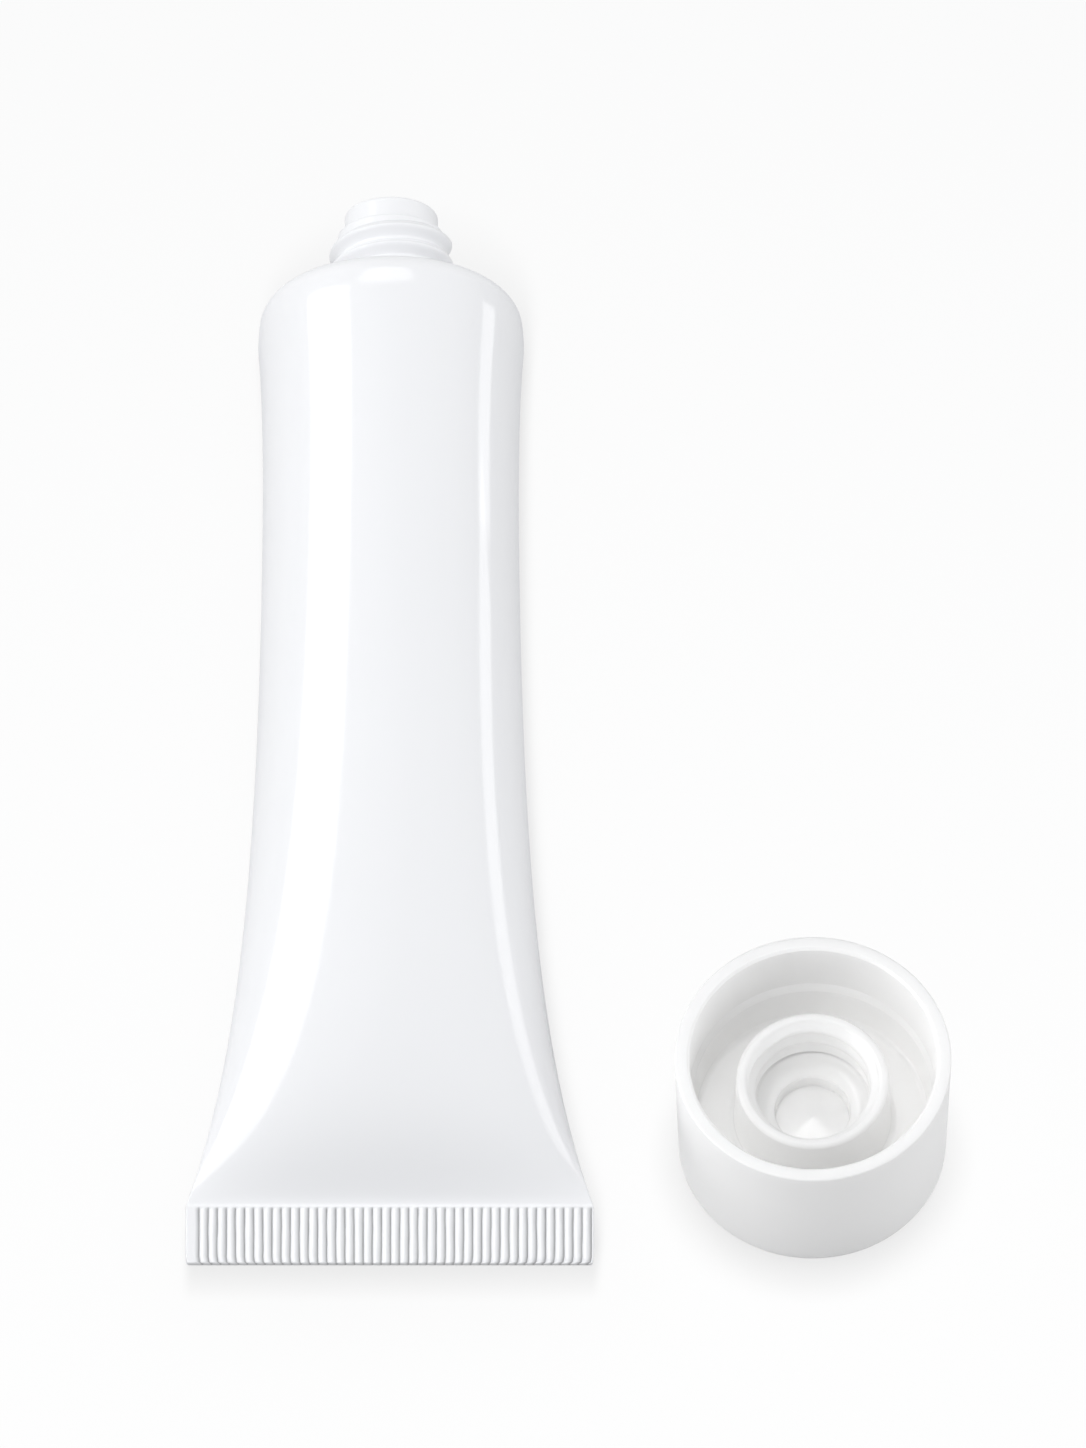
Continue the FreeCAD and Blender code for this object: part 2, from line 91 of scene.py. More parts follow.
def length(name, description, millimetres):
    """A length that the panel shows in the scene's own unit."""
    return FloatProperty(
        name=name, description=description, default=millimetres * MM, min=0.0, unit="LENGTH", precision=5
    )


def angle(name, description, degrees):
    """An angle that the panel shows in degrees."""
    turn = math.radians(degrees)
    return FloatProperty(name=name, description=description, default=turn, unit="ROTATION")


def amount(name, description, default, top=1.0):
    """A plain number from nothing up to a top value."""
    return FloatProperty(name=name, description=description, default=default, min=0.0, max=top)


def face_radiance(name, lamp, default, top=20.0):
    """How bright the face of a lamp is."""
    return amount(name, f"Radiance of the {lamp}", default, top)


def colour(name, description, default):
    """A colour with its red, green and blue between 0 and 1."""
    return FloatVectorProperty(
        name=name, description=description, default=default, subtype="COLOR", size=3, min=0.0, max=1.0
    )


class SleeveSizes(PropertyGroup):
    """The soft sleeve, from its welded end to the shoulder."""

    radius: length("Radius", "Outside radius of the plain sleeve", 14.65)
    wall: length("Wall", "Wall of the sleeve", 0.45)
    reach: length("Length", "From the welded end to the shoulder", 119.4)
    start: length("Start", "How far in from the tube's end the welded edge stands", 0.4)
    waist: length("Waist", "Half width that the body tends to away from its ends", 14.1)
    flare: length("Flare", "Length over which the body spreads to the welded end", 27.2)
    grip: length("Grip", "Straight stretch on the shoulder's skirt", 3.0)
    stretch: length("Stretch", "Length over which the stretched end settles to the waist", 9.2)
    swell: length("Swell", "Length over which the body opens out above the weld", 4.0)
    seal: length("Weld", "Length of the welded strip", 7.3)
    seal_thickness: length("Weld thickness", "Over the crests of the pressed ribs", 0.95)
    rib_reach: length("Rib length", "Length of the pressed ribs", 7.2)
    rib_depth: length("Rib depth", "From a crest to the groove beside it", 0.3)
    rib_count: IntProperty(name="Ribs", description="Ribs across the weld", default=44, min=2)
    rib_wander: amount("Rib wander", "How far a groove strays from its place, in ribs", 0.035)
    rib_start: amount("Rib start", "How much wider the first rib at the left is, in ribs", 0.52)
    rib_spare: amount("Rib spare", "How much wider the first and last ribs are together, in ribs", 0.78)
    corner: length("Corner", "Rounding of the two corners of the weld", 0.55)
    edge: length("Edge", "Rounding of the weld's free edges", 0.16)
    rise: length("Rise", "From the upper ends of the ribs to where the body begins to rise", 0.35)
    turn_in: length("Turn in", "How far the sleeve's end closes in to follow the shoulder", 0.18)
    turn_length: length("Turn length", "Length over which it closes in", 2.75)


class HeadSizes(PropertyGroup):
    """The moulded shoulder, threaded neck and tip."""

    radius: length("Shoulder radius", "Widest radius of the shoulder", 15.1)
    arc: length("Shoulder arc", "Radius of the shoulder's rounded edge", 2.4)
    slope: angle("Slope", "Slope of the shoulder's top", 22.0)
    wall: length("Wall", "Wall of the shoulder", 1.45)
    neck: length("Neck radius", "Root of the neck's thread", 6.1)
    neck_length: length("Neck length", "From the shoulder to the step below the tip", 6.33)
    flare: length("Neck flare", "Rounding where the neck rises from the shoulder", 1.1)
    step_edge: length("Step edge", "Rounding of the step below the tip", 0.3)
    tip: length("Tip radius", "Smooth tip above the thread", 5.3)
    tip_length: length("Tip length", "Height of the tip", 2.65)
    tip_edge: length("Tip edge", "Rounding of the tip's outer edge", 0.45)
    bore: length("Bore", "Inside radius of the neck", 4.5)
    orifice: length("Orifice", "Radius of the hole that the product leaves by", 3.2)
    thread_end: length("Thread end", "From the thread's upper end down from the step", 0.92)
    thread_turn: angle("Thread turn", "Where the upper end lies, round from the top of the tube", 150.0)
    thread_turns: amount("Thread turns", "Turns of the thread", 2.2, 4.0)


class CapSizes(PropertyGroup):
    """The screw cap, one moulding."""

    height: length("Height", "Height of the cap", 20.2)
    mouth: length("Mouth radius", "Outside radius at the mouth", 15.6)
    draft: length("Draft", "How much narrower the closed end is", 0.5)
    base_edge: length("Base edge", "Rounding of the closed end's edge", 0.8)
    rim_edge: length("Rim edge", "Rounding of the rim's outer edge", 0.18)
    rim_wall: length("Rim wall", "Wall of the skirt at the mouth", 1.65)
    rim_chamfer: length("Rim chamfer", "Inner edge of the mouth", 0.3)
    step_depth: length("Step depth", "From the mouth down to the step in the wall", 8.1)
    step_height: length("Step height", "Height of the sloping step", 0.95)
    step_width: length("Step width", "How much the step narrows the bore", 0.5)
    floor_depth: length("Floor depth", "From the mouth down to the floor round the collar", 14.45)
    floor_draft: length("Floor draft", "How much narrower the bore is at the floor", 0.3)
    floor_corner: length("Floor corner", "Rounding at the floor's two corners", 0.7)
    collar_bore: length("Collar bore", "Radius of the root of the collar's thread", 7.4)
    collar_wall: length("Collar wall", "Wall of the collar", 1.25)
    collar_depth: length("Collar depth", "From the mouth down to the collar's rim", 5.1)
    collar_lip: length("Collar lip", "Rounding of the collar's rim", 0.5)
    seal_bore: length("Seal bore", "Radius of the plain bore below the thread", 6.45)
    seal_level: length("Seal level", "Level at which the plain bore begins", 9.7)
    ledge_level: length("Ledge level", "Level of the ledge round the well", 7.6)
    ledge_corner: length("Ledge corner", "Hollow rounding from the bore to the ledge", 2.1)
    well: length("Well radius", "Radius of the well", 4.25)
    well_depth: length("Well depth", "From the ledge down to the well's bottom", 1.9)
    well_cone: length("Well cone", "Rise of the shallow cone in the well", 0.35)
    thread_top: length("Thread top", "Level of the thread's upper end", 14.9)
    thread_turn: angle("Thread turn", "Where the upper end lies, round from the right of the cap", 200.0)
    thread_turns: amount("Thread turns", "Turns of the thread", 2.4, 4.0)


class ThreadSizes(PropertyGroup):
    """The thread that the neck and the collar share."""

    pitch: length("Pitch", "Rise of the thread over one turn", 2.31)
    depth: length("Depth", "Height of the ridge over its root", 0.95)
    foot: length("Foot", "Width of the ridge at its root", 2.1)
    fullness: amount("Fullness", "Power of the cosine wave across the ridge: fuller below 1", 0.85, 4.0)
    run_out: amount("Run-out", "Turns over which each end of the thread fades away", 0.22)


class Finish(PropertyGroup):
    """Colours and gloss of the plastics."""

    sleeve: colour("Sleeve", "Extruded sleeve", (0.89, 0.897, 0.915))
    head: colour("Head", "Moulded shoulder and neck", (0.895, 0.901, 0.917))
    cap: colour("Cap", "Moulded cap", (0.93, 0.926, 0.918))
    # Groove shade is painted shade: it darkens the colour in the pressed grooves, on the rib flanks that face
    # right and on the weld's free edge.
    groove: amount("Groove shade", "How much duller the plastic is in the pressed grooves", 0.6)
    glow: length("Glow", "How far light spreads inside the cap's plastic", 1.2)
    sleeve_gloss: amount("Sleeve roughness", "Roughness of the sleeve", 0.10)
    head_gloss: amount("Head roughness", "Roughness of the head", 0.13)
    cap_gloss: amount("Cap roughness", "Roughness of the cap", 0.15)


class StudioSettings(PropertyGroup):
    """Camera, floor and lights."""

    elevation: angle("Elevation", "Height of the camera above the horizon", 61.5)
    aim: FloatVectorProperty(
        name="Aim", description="Point in the middle of the view", default=(-0.002877, 0.009706, 0.0),
        subtype="TRANSLATION", unit="LENGTH", precision=5,
    )
    view_height: length("View height", "Height of what the camera sees", 164.5)
    lens: FloatProperty(name="Lens", description="Focal length in millimetres", default=1200.0, min=1.0)
    fill: amount("Fill", "Strength of the light from all round", 0.58, 5.0)
    key: face_radiance("Key", "large light over the tube", 2.65)
    floor_light: face_radiance("Floor light", "light for the tube's shadow on the floor", 125.0, 200.0)
    cap_shadow: face_radiance("Cap shadow", "light for the cap's shadow on the floor", 55.0, 200.0)
    cap_light: face_radiance("Cap light", "large light over the cap", 1.1)
    cap_through: face_radiance("Cap glow light", "light that passes through the cap's thin walls", 2.1)
    cap_left: face_radiance("Cap left fill", "soft light low at the cap's left", 0.6)
    cap_mirrored: face_radiance("Cap softbox", "small softbox mirrored in the cap's well", 6.0)
    left_fill: face_radiance("Left fill", "soft light low at the left", 1.1)
    right_fill: face_radiance("Right fill", "soft light low at the right", 1.5)
    left: face_radiance("Left softbox", "wide softbox mirrored at the left", 2.6)
    strip: face_radiance("Right strip", "low strips mirrored at the right", 2.15)
    back: face_radiance("Back softbox", "small softbox mirrored on the shoulder", 1.7)
    neck: face_radiance("Neck softbox", "narrow softbox mirrored on the neck", 1.4)
    floor: amount("Floor", "Brightness of the floor as it lights the pieces", 0.13)
    floor_shown: amount("Floor shown", "Share of its shadows that the floor shows", 0.132)
    floor_lift: amount("Floor lift", "What is added to the floor where it is looked at", 0.555)


# ---------------------------------------------------------------- surfaces

def smooth(value):
    """An even rise from 0 to 1 as the value goes from 0 to 1: 3 v squared less 2 v cubed."""
    value = np.clip(value, 0.0, 1.0)
    return value * value * (3.0 - 2.0 * value)


def rounded_profile(corners, closed):
    """A profile through corners, each given as across, along, radius and steps.

    A corner becomes an arc of its radius, drawn in steps pieces, that touches both of the straight runs
    beside it. A support point close to each end of an arc keeps the shading of the straight runs flat.
    """
    corners = np.asarray(corners, float)
    places = corners[:, :2]
    count = len(places)
    points = []
    for index in range(count):
        radius, steps = corners[index, 2], int(corners[index, 3])
        here = places[index]
        if radius <= 0.0 or (not closed and index in (0, count - 1)):
            points.append(here[None])
            continue
        back = places[index - 1] - here
        ahead = places[(index + 1) % count] - here
        back_reach, ahead_reach = np.hypot(*back), np.hypot(*ahead)
        back, ahead = back / back_reach, ahead / ahead_reach
        half = 0.5 * math.acos(float(np.clip(back @ ahead, -1.0, 1.0)))
        touch = radius / math.tan(half)
        middle = back + ahead
        centre = here + middle / np.hypot(*middle) * radius / math.sin(half)
        first = here + back * touch - centre
        last = here + ahead * touch - centre
        sweep = math.pi - 2.0 * half
        share = np.linspace(0.0, 1.0, steps + 1)[:, None]
        arc = (np.sin((1.0 - share) * sweep) * first + np.sin(share * sweep) * last) / math.sin(sweep)
        arc = arc + centre
        support = 0.35 * radius / steps
        if touch + support < back_reach * 0.5:
            arc = np.vstack([here + back * (touch + support), arc])
        if touch + support < ahead_reach * 0.5:
            arc = np.vstack([arc, here + ahead * (touch + support)])
        points.append(arc)
    return np.vstack(points)


def divided(profile, along, across, spacing):
    """The profile with its runs in a range along the axis and a range across it divided to a spacing."""
    pieces = []
    for start, end in zip(profile[:-1], profile[1:]):
        inside = min(start[1], end[1]) < along[1] and max(start[1], end[1]) > along[0]
        inside = inside and min(start[0], end[0]) >= across[0] and max(start[0], end[0]) <= across[1]
        steps = max(1, math.ceil(np.hypot(*(end - start)) / spacing)) if inside else 1
        share = np.linspace(0.0, 1.0, steps, endpoint=False)[:, None]
        pieces.append(start + (end - start) * share)
    pieces.append(profile[-1:])
    return np.vstack(pieces)


def thread_height(turn, along, sizes, top, top_turn, turns):
    """Height of a right-hand ridge over its root.

    The ridge's middle line falls one pitch for each turn back from its upper end. Across that line the
    ridge is one wave of a cosine, raised to stand on the root and then to a power that makes it fuller,
    and it fades in and out at both ends.
    """
    back = (top_turn - turn) / (2.0 * np.pi)
    laps = (top - along) / sizes.pitch - back
    lap = np.round(laps)
    offset = np.abs(laps - lap) * sizes.pitch
    travelled = lap + back
    fade = smooth(travelled / sizes.run_out) * smooth((turns - travelled) / sizes.run_out)
    wave = 0.5 + 0.5 * np.cos(np.pi * np.clip(offset / (0.5 * sizes.foot), 0.0, 1.0))
    return sizes.depth * fade * wave ** sizes.fullness


def ring_faces(rows, columns, closed):
    """Four-cornered faces between the rows of a grid whose columns run round and close."""
    row = np.arange(rows if closed else rows - 1)[:, None]
    column = np.arange(columns)[None, :]
    following = (column + 1) % columns
    above = (row + 1) % rows
    corners = [
        row * columns + column,
        row * columns + following,
        above * columns + following,
        above * columns + column,
    ]
    return np.stack(corners, axis=-1).reshape(-1, 4)


def surface_object(name, points, faces, material, node, shade=None):
    """A closed smooth surface from points and four-cornered faces, which stands for one CAD node.

    Points closer than the merging distance become one, so the poles and the welded edges are closed. Shade,
    where given, is painted shade: how much darker each point's colour is made, in the pressed grooves and on
    the weld's free edge.
    """
    mesh = bpy.data.meshes.new(name)
    mesh.vertices.add(len(points))
    mesh.vertices.foreach_set("co", points.astype(np.float32).ravel())
    mesh.loops.add(faces.size)
    mesh.loops.foreach_set("vertex_index", faces.astype(np.int32).ravel())
    mesh.polygons.add(len(faces))
    mesh.polygons.foreach_set("loop_start", np.arange(0, faces.size, 4, dtype=np.int32))
    mesh.update(calc_edges=True)
    if shade is not None:
        grooves = mesh.attributes.new("groove", "FLOAT", "POINT")
        grooves.data.foreach_set("value", shade.astype(np.float32))
    work = bmesh.new()
    work.from_mesh(mesh)
    bmesh.ops.remove_doubles(work, verts=work.verts, dist=MERGE_DISTANCE)
    bmesh.ops.dissolve_degenerate(work, edges=work.edges, dist=SHORTEST_EDGE)
    bmesh.ops.recalc_face_normals(work, faces=work.faces)
    work.to_mesh(mesh)
    work.free()
    mesh.shade_smooth()
    mesh.set_sharp_from_angle(angle=SHARP_ANGLE)
    mesh.materials.append(material)
    piece = bpy.data.objects.new(name, mesh)
    bpy.context.scene.collection.objects.link(piece)
    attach(piece, "root")
    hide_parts(node)


# ---------------------------------------------------------------- the tube's place

def along_tube(points):
    """Points given across, along and above the tube's axis, put where the CAD's tube lies.

    The axis runs through the middle of the orifice, in the direction that the record gives it, and the
    welded end is the whole length of the tube behind the tip.
    """
    orifice = MOUNTS["orifice"]
    axis = np.array(orifice["axis"])
    tip = np.array(orifice["pos_m"]) + axis * orifice["dims"]["length_mm"] / 2.0 * MM
    start = tip - axis * tip_station()
    upward = np.cross([1.0, 0.0, 0.0], axis)
    directions = np.array([[1.0, 0.0, 0.0], axis, upward])
    return start + points @ directions


def slope_turn():
    """Where the shoulder's arc runs into its slope: radius and station."""
    head, sleeve = bpy.context.scene.tube_head, bpy.context.scene.tube_sleeve
    across = head.radius - head.arc + head.arc * math.sin(head.slope)
    return across, sleeve.reach + head.arc * math.cos(head.slope)


def neck_station():
    """Where the shoulder's slope meets the root of the neck."""
    head = bpy.context.scene.tube_head
    across, station = slope_turn()
    return station + (across - head.neck) * math.tan(head.slope)


def tip_station():
    """The far end of the tip."""
    head = bpy.context.scene.tube_head
    return neck_station() + head.neck_length + head.tip_length


# ---------------------------------------------------------------- the sleeve

# Columns of the grid: within a rib, from one groove to the next, and beside the weld's sides, as shares of
# its half width.
RIB_STEPS = np.array([0.0, 0.05, 0.13, 0.24, 0.37, 0.5, 0.62, 0.74, 0.86, 0.95])
SIDE_START = 0.993
SIDE_STEPS = np.array([0.9945, 0.9968, 0.9985, 0.9996, 1.0])

# Places in a rib, from 0 in the groove at its left to 1 in the groove at its right.
CREST = 0.56
# Painted shade: the colour is darkened in each groove and down each rib's flank that faces right, where shade
# falls.
PAINTED_SHADE_START = 0.45  # where the painted shade of a groove starts, on the flank that faces right
PAINTED_SHADE_END = 0.05  # how far that goes on into the next rib
PLAIN = 0.35  # the place that the plain strip at the left takes its height from

FLANK_POWER = 1.5  # a flank falls off with this power of the way from the crest

# Waves that move the grooves: height, turn over one rib, turn over one millimetre along, and start.
WANDER_WAVES = ((1.0, 1.9, 0.9, 0.0), (0.7, 0.61, -0.55, 1.3), (0.5, 3.3, 1.7, 0.4))

# Thickness of the strip between the ribs' upper ends and the body, and of the hollow inside the weld, as
# shares of the thickness over the crests.
BAND = 0.75
HOLLOW = 0.2

RIB_FADE = 0.3 * MM  # length over which the ribs fade at their upper ends
CREST_FADE = 0.5 * MM  # length over which the strip thins above the ribs
SCALLOP = 0.16 * MM  # how far a groove draws the free edge in
SCALLOP_REACH = 0.3 * MM  # length over which that fades along the weld
EDGE_PAINTED_SHADE = 0.5  # painted shade on the free edge, where it turns down, as a share of a groove's
COLUMN_SPREAD = 16.0 * MM  # length above the weld over which even columns become even turns
OPENING_POWER = 1.35  # the body opens out with this power of the way above the weld


def half_width(station, sizes, shoulder):
    """Half width of the body: the waist's, with a flare that dies away from the weld and a swell that grows
    towards the shoulder, both exponentially."""
    seal_half = math.pi / 2.0 * sizes.radius
    flare = seal_half - sizes.waist
    straight = sizes.reach - sizes.grip
    body = sizes.waist + flare * np.exp(-(station - sizes.seal) / sizes.flare)
    end_flare = flare * math.exp(-(straight - sizes.seal) / sizes.flare)
    swell = shoulder - sizes.waist - end_flare
    return body + swell * np.exp(-(straight - station) / sizes.stretch)


def half_depth(station, width, sizes, shoulder):
    """Half depth of the body from the girth of the sleeve, which is stretched towards the shoulder:
    Ramanujan's rule for the girth of an ellipse, solved for its depth."""
    straight = sizes.reach - sizes.grip
    radius = sizes.radius + (shoulder - sizes.radius) * np.exp(-(straight - station) / sizes.stretch)
    wide = np.minimum(width / radius, math.pi / 2.0)
    inner = 3.0 + 6.0 * wide - 5.0 * wide ** 2
    return radius / 3.0 * (3.0 - 2.0 * wide + np.sqrt(np.maximum(inner, 0.0)))


def rib_columns(sizes):
    """Places across the weld from side to side, as shares of its half width: closer in the grooves, and
    closer still at the two sides, where the edge is rounded."""
    places = np.arange(-1, sizes.rib_count + 1)[:, None] + RIB_STEPS[None, :] + sizes.rib_start
    places = places.ravel() / (sizes.rib_count + sizes.rib_spare) * 2.0 - 1.0
    return np.unique(np.concatenate([places[np.abs(places) < SIDE_START], SIDE_STEPS, -SIDE_STEPS]))


def rib_phase(across, station, sizes):
    """How far round its rib a place is, from 0 in the groove at its left to 1 in the groove at its right.

    Slow waves along the weld and across it move the grooves a little, as in a weld pressed by a worn jaw,
    and die out at the two sides. Left of the middle of the first rib the weld is plain.
    """
    rib = (across + 1.0) / 2.0 * (sizes.rib_count + sizes.rib_spare) - sizes.rib_start
    mark = station / MM
    drift = 0.0
    for height, by_rib, by_mark, start in WANDER_WAVES:
        drift = drift + height * np.sin(by_rib * rib + by_mark * mark + start)
    drift = drift / sum(wave[0] for wave in WANDER_WAVES)
    inside = smooth((1.0 - np.abs(across)) * sizes.rib_count / 2.0)
    rib = rib + sizes.rib_wander * drift * inside
    return np.where(rib < 0.5, PLAIN, rib - np.floor(rib))


def rib_end(station, sizes):
    """1 along the ribs, with a smooth fall to 0 at their upper ends."""
    return smooth((sizes.rib_reach - station) / RIB_FADE)


def rib_relief(phase):
    """Depth below the crest, as a share of the rib depth: a broad flank that faces left and a shorter one
    that faces right, each falling off with a power of the way from the crest."""
    left = np.clip(1.0 - phase / CREST, 0.0, 1.0) ** FLANK_POWER
    right = np.clip((phase - CREST) / (1.0 - CREST), 0.0, 1.0) ** FLANK_POWER
    return np.maximum(left, right)


def painted_groove_shade(phase):
    """Painted shade in a groove: how much darker the colour is made. It grows with a power down the flank
    that faces right, and ends evenly at the foot of the next."""
    left = np.clip(1.0 - phase / PAINTED_SHADE_END, 0.0, 1.0)
    right = np.clip((phase - PAINTED_SHADE_START) / (1.0 - PAINTED_SHADE_START), 0.0, 1.0) ** FLANK_POWER
    return np.maximum(left, right)


def sleeve_points(sizes, shoulder):
    """Rings of the sleeve, from its welded edge to the shoulder and back along the inside.

    The first rows follow a quarter of a circle round the free edge. The others are closer together at the
    ribs' upper ends, just above the weld and where the sleeve's end turns in.
    """
    across = rib_columns(sizes)
    straight = sizes.reach - sizes.grip
    rise = sizes.rib_reach + sizes.rise
    round_turn = np.linspace(0.0, np.pi / 2.0, 6)
    edge_rows = sizes.edge * (1.0 - np.cos(round_turn))
    strip_rows = np.linspace(sizes.edge * 1.3, sizes.rib_reach - 0.4 * MM, 10)
    end_rows = np.linspace(sizes.rib_reach - 0.3 * MM, sizes.rib_reach + 0.05 * MM, 5)
    body_rows = rise + (straight - rise) * np.linspace(0.0, 1.0, 58) ** 1.7
    before_turn = [sizes.reach - sizes.turn_length - 0.2 * MM]
    turn_rows = sizes.reach - np.linspace(1.0, 0.0, 9) * sizes.turn_length
    station = np.concatenate([edge_rows, strip_rows, end_rows, body_rows, before_turn, turn_rows])
    lift = np.concatenate([np.sin(round_turn), np.ones(len(station) - len(edge_rows))])
    outer, outer_shade = sleeve_rings(station, lift, across, sizes, shoulder, 0.0)
    inner_end = sizes.seal + 1.0 * MM
    inner_rows = np.concatenate([
        sizes.reach - np.array([0.0, 0.02 * MM, 0.5 * sizes.grip, sizes.grip]),
        inner_end + (straight - inner_end) * np.linspace(0.95, 0.0, 12) ** 1.6,
    ])
    inner_lift = np.ones(len(inner_rows))
    inner_lift[-1] = 0.0
    inner, inner_shade = sleeve_rings(inner_rows, inner_lift, across, sizes, shoulder, sizes.wall)
    return np.concatenate([outer, inner]), np.concatenate([outer_shade, inner_shade])


def sleeve_rings(station, lift, across, sizes, shoulder, wall):
    """Closed rings at stations, drawn in by a wall, where lift flattens a ring to the weld's middle plane.

    Across the weld, the height is half the strip's thickness, rounded off at the sides. Along the body, its
    square grows from the strip's by the square of the half depth, and falls off across the width as an
    ellipse does. The two corners are rounded off the width, and the end closes in by the square of the way
    along its turn. The columns pass from even spacing on the weld to even turns. Last, the welded edge is
    moved in to its start, and the rest of the sleeve by less and less.
    """
    station = station[:, None]
    lift = lift[:, None]
    body = np.clip(station, sizes.seal, sizes.reach - sizes.grip)
    closing = np.maximum(station - sizes.reach + sizes.turn_length, 0.0) / sizes.turn_length
    closing = sizes.turn_in * closing ** 2 + wall
    width = half_width(body, sizes, shoulder) - closing
    depth = half_depth(body, width + closing, sizes, shoulder) - closing
    band = (BAND if wall == 0.0 else HOLLOW) * sizes.seal_thickness / 2.0
    rounded = np.maximum(sizes.corner - station, 0.0)
    corner = sizes.corner - np.sqrt(np.maximum(sizes.corner ** 2 - rounded ** 2, 0.0))
    width = width - corner
    turned = smooth((station - sizes.seal) / COLUMN_SPREAD)
    share = (1.0 - turned) * across + turned * np.sin(np.pi / 2.0 * across)
    side = np.clip((np.abs(share) * width - (width - sizes.edge)) / sizes.edge, 0.0, 1.0)
    side = np.sqrt(np.maximum(1.0 - side ** 2, 0.0))
    risen = np.maximum(station - sizes.rib_reach - sizes.rise, 0.0) / sizes.swell
    opened = 1.0 - np.exp(-risen ** OPENING_POWER)
    swollen = np.maximum(np.maximum(depth, 0.0) ** 2 - band ** 2, 0.0)
    height = np.sqrt((band * side) ** 2 + swollen * opened * (1.0 - share ** 2))
    upper = np.stack([share * width, station + 0.0 * share, height * lift], axis=-1)
    lower = upper * np.array([1.0, 1.0, -1.0])
    shade = 0.0 * height
    if wall == 0.0:
        shade = press_ribs(upper, lower, share, station, side, lift, sizes)
    rings = np.concatenate([upper, lower[:, -2:0:-1]], axis=1)
    rings[..., 1] += sizes.start * (1.0 - rings[..., 1] / sizes.reach)
    return rings, np.concatenate([shade, shade[:, -2:0:-1]], axis=1)


def press_ribs(upper, lower, share, station, side, lift, sizes):
    """Press the ribs into both faces of the weld, and give the painted shade of each place: how much darker
    its colour is made in the grooves and on the free edge.

    Along the ribs the faces stand out to the strip's full thickness, less the relief of the grooves. The
    ribs of the lower face lie half a rib aside, and each groove draws the free edge in a little.
    """
    strip = sizes.seal_thickness / 2.0
    ribs = rib_end(station, sizes)
    crest = smooth((sizes.rib_reach + CREST_FADE / 2.0 - station) / CREST_FADE) * (strip - BAND * strip)
    phase = rib_phase(share, station, sizes)
    relief = rib_relief(phase) * ribs
    other = rib_relief((phase + 0.5) % 1.0) * ribs
    upper[..., 2] += (crest - relief * sizes.rib_depth) * side * lift
    lower[..., 2] -= (crest - other * sizes.rib_depth) * side * lift
    scallop = relief * SCALLOP * np.exp(-station / SCALLOP_REACH)
    upper[..., 1] += scallop
    lower[..., 1] += scallop
    # Painted shade: the grooves and the downturned free edge get a darker colour.
    return np.maximum(painted_groove_shade(phase) * ribs, EDGE_PAINTED_SHADE * (1.0 - lift))


class TUBE_OT_sleeve(Operator):
    """Make the soft sleeve with its welded, ribbed end"""

    bl_idname = "squeeze_tube.sleeve"
    bl_label = "Sleeve"

    def execute(self, context):
        scene = context.scene
        finish = scene.tube_finish
        rings, shade = sleeve_points(scene.tube_sleeve, scene.tube_head.radius)
        points = along_tube(rings.reshape(-1, 3))
        faces = ring_faces(*shade.shape, False)
        material = plastic(
            "sleeve_plastic", finish.sleeve, finish.sleeve_gloss, EXTRUDED_GRAIN, groove=finish.groove
        )
        surface_object("sleeve", points, faces, material, "tube_sleeve", shade.ravel())
        return {"FINISHED"}


# ---------------------------------------------------------------- shoulder and neck

HEAD_COLUMNS = 288  # columns round the axis
HEAD_ROW = 0.08 * MM  # spacing of the rows along the thread
SKIRT_GAP = 0.02 * MM  # gap between the head's skirt and the sleeve
ARC_FIT = 0.98  # the shoulder's arc, as a share of the largest that fits
RIDGE_BLEND = 0.12 * MM  # rounding where the ridge meets a surface that stands out
RIDGE_START = 0.08 * MM  # height of the ridge over which that rounding sets in


def turned_grid(profile, columns):
    """A profile of across and along turned about the axis: radius, turn and place along, on a grid."""
    turn = np.linspace(-np.pi, np.pi, columns, endpoint=False)
    across = np.repeat(profile[:, :1], columns, axis=1)
    along = np.repeat(profile[:, 1:2], columns, axis=1)
    return across, turn[None, :] + 0.0 * across, along


def head_profile(head, sleeve):
    """The head's profile, from the inside of its skirt over the shoulder and tip and back down the bore.

    The sleeve's end leans in by twice its turn in over the turn's length. The shoulder carries on at that
    lean to a corner with its slope, which an arc rounds off.
    """
    neck = neck_station()
    step = neck + head.neck_length
    tip = step + head.tip_length
    orifice = tip - MOUNTS["orifice"]["dims"]["length_mm"] * MM
    skirt = head.radius - sleeve.wall - sleeve.turn_in - SKIRT_GAP
    inside = head.radius - head.wall
    turn_across, turn_station = slope_turn()
    seam = head.radius - sleeve.turn_in
    lean = 2.0 * sleeve.turn_in / sleeve.turn_length
    flat = math.tan(head.slope)
    corner = (turn_station - sleeve.reach + (turn_across - seam) * flat) / (1.0 - lean * flat)
    shoulder_corner = (seam - lean * corner, sleeve.reach + corner)
    turned = math.pi / 2.0 - head.slope - math.atan(lean)
    arc = ARC_FIT * corner * math.sqrt(1.0 + lean * lean) / math.tan(turned / 2.0)
    inner_arc = head.arc - head.wall
    inner_across = head.radius - head.arc + inner_arc * math.sin(head.slope)
    inner_station = sleeve.reach + inner_arc * math.cos(head.slope)
    inner_corner = inner_station - (inside - inner_across) * flat
    bore_station = inner_station + (inner_across - head.bore) * flat
    small = 0.1 * MM
    return rounded_profile([
        (inside, sleeve.reach - sleeve.grip, small, 3),
        (skirt, sleeve.reach - sleeve.grip, small, 3),
        (skirt, sleeve.reach, 0.0, 0),
        (seam, sleeve.reach, 0.0, 0),
        (*shoulder_corner, arc, 26),
        (head.neck, neck, head.flare, 10),
        (head.neck, step, head.step_edge, 6),
        (head.tip, step, small, 4),
        (head.tip, tip, head.tip_edge, 8),
        (head.orifice, tip, 2.0 * small, 5),
        (head.orifice, orifice, small, 3),
        (head.bore, orifice, small, 3),
        (head.bore, bore_station, 3.0 * small, 4),
        (inside, inner_corner, inner_arc, 12),
    ], True)


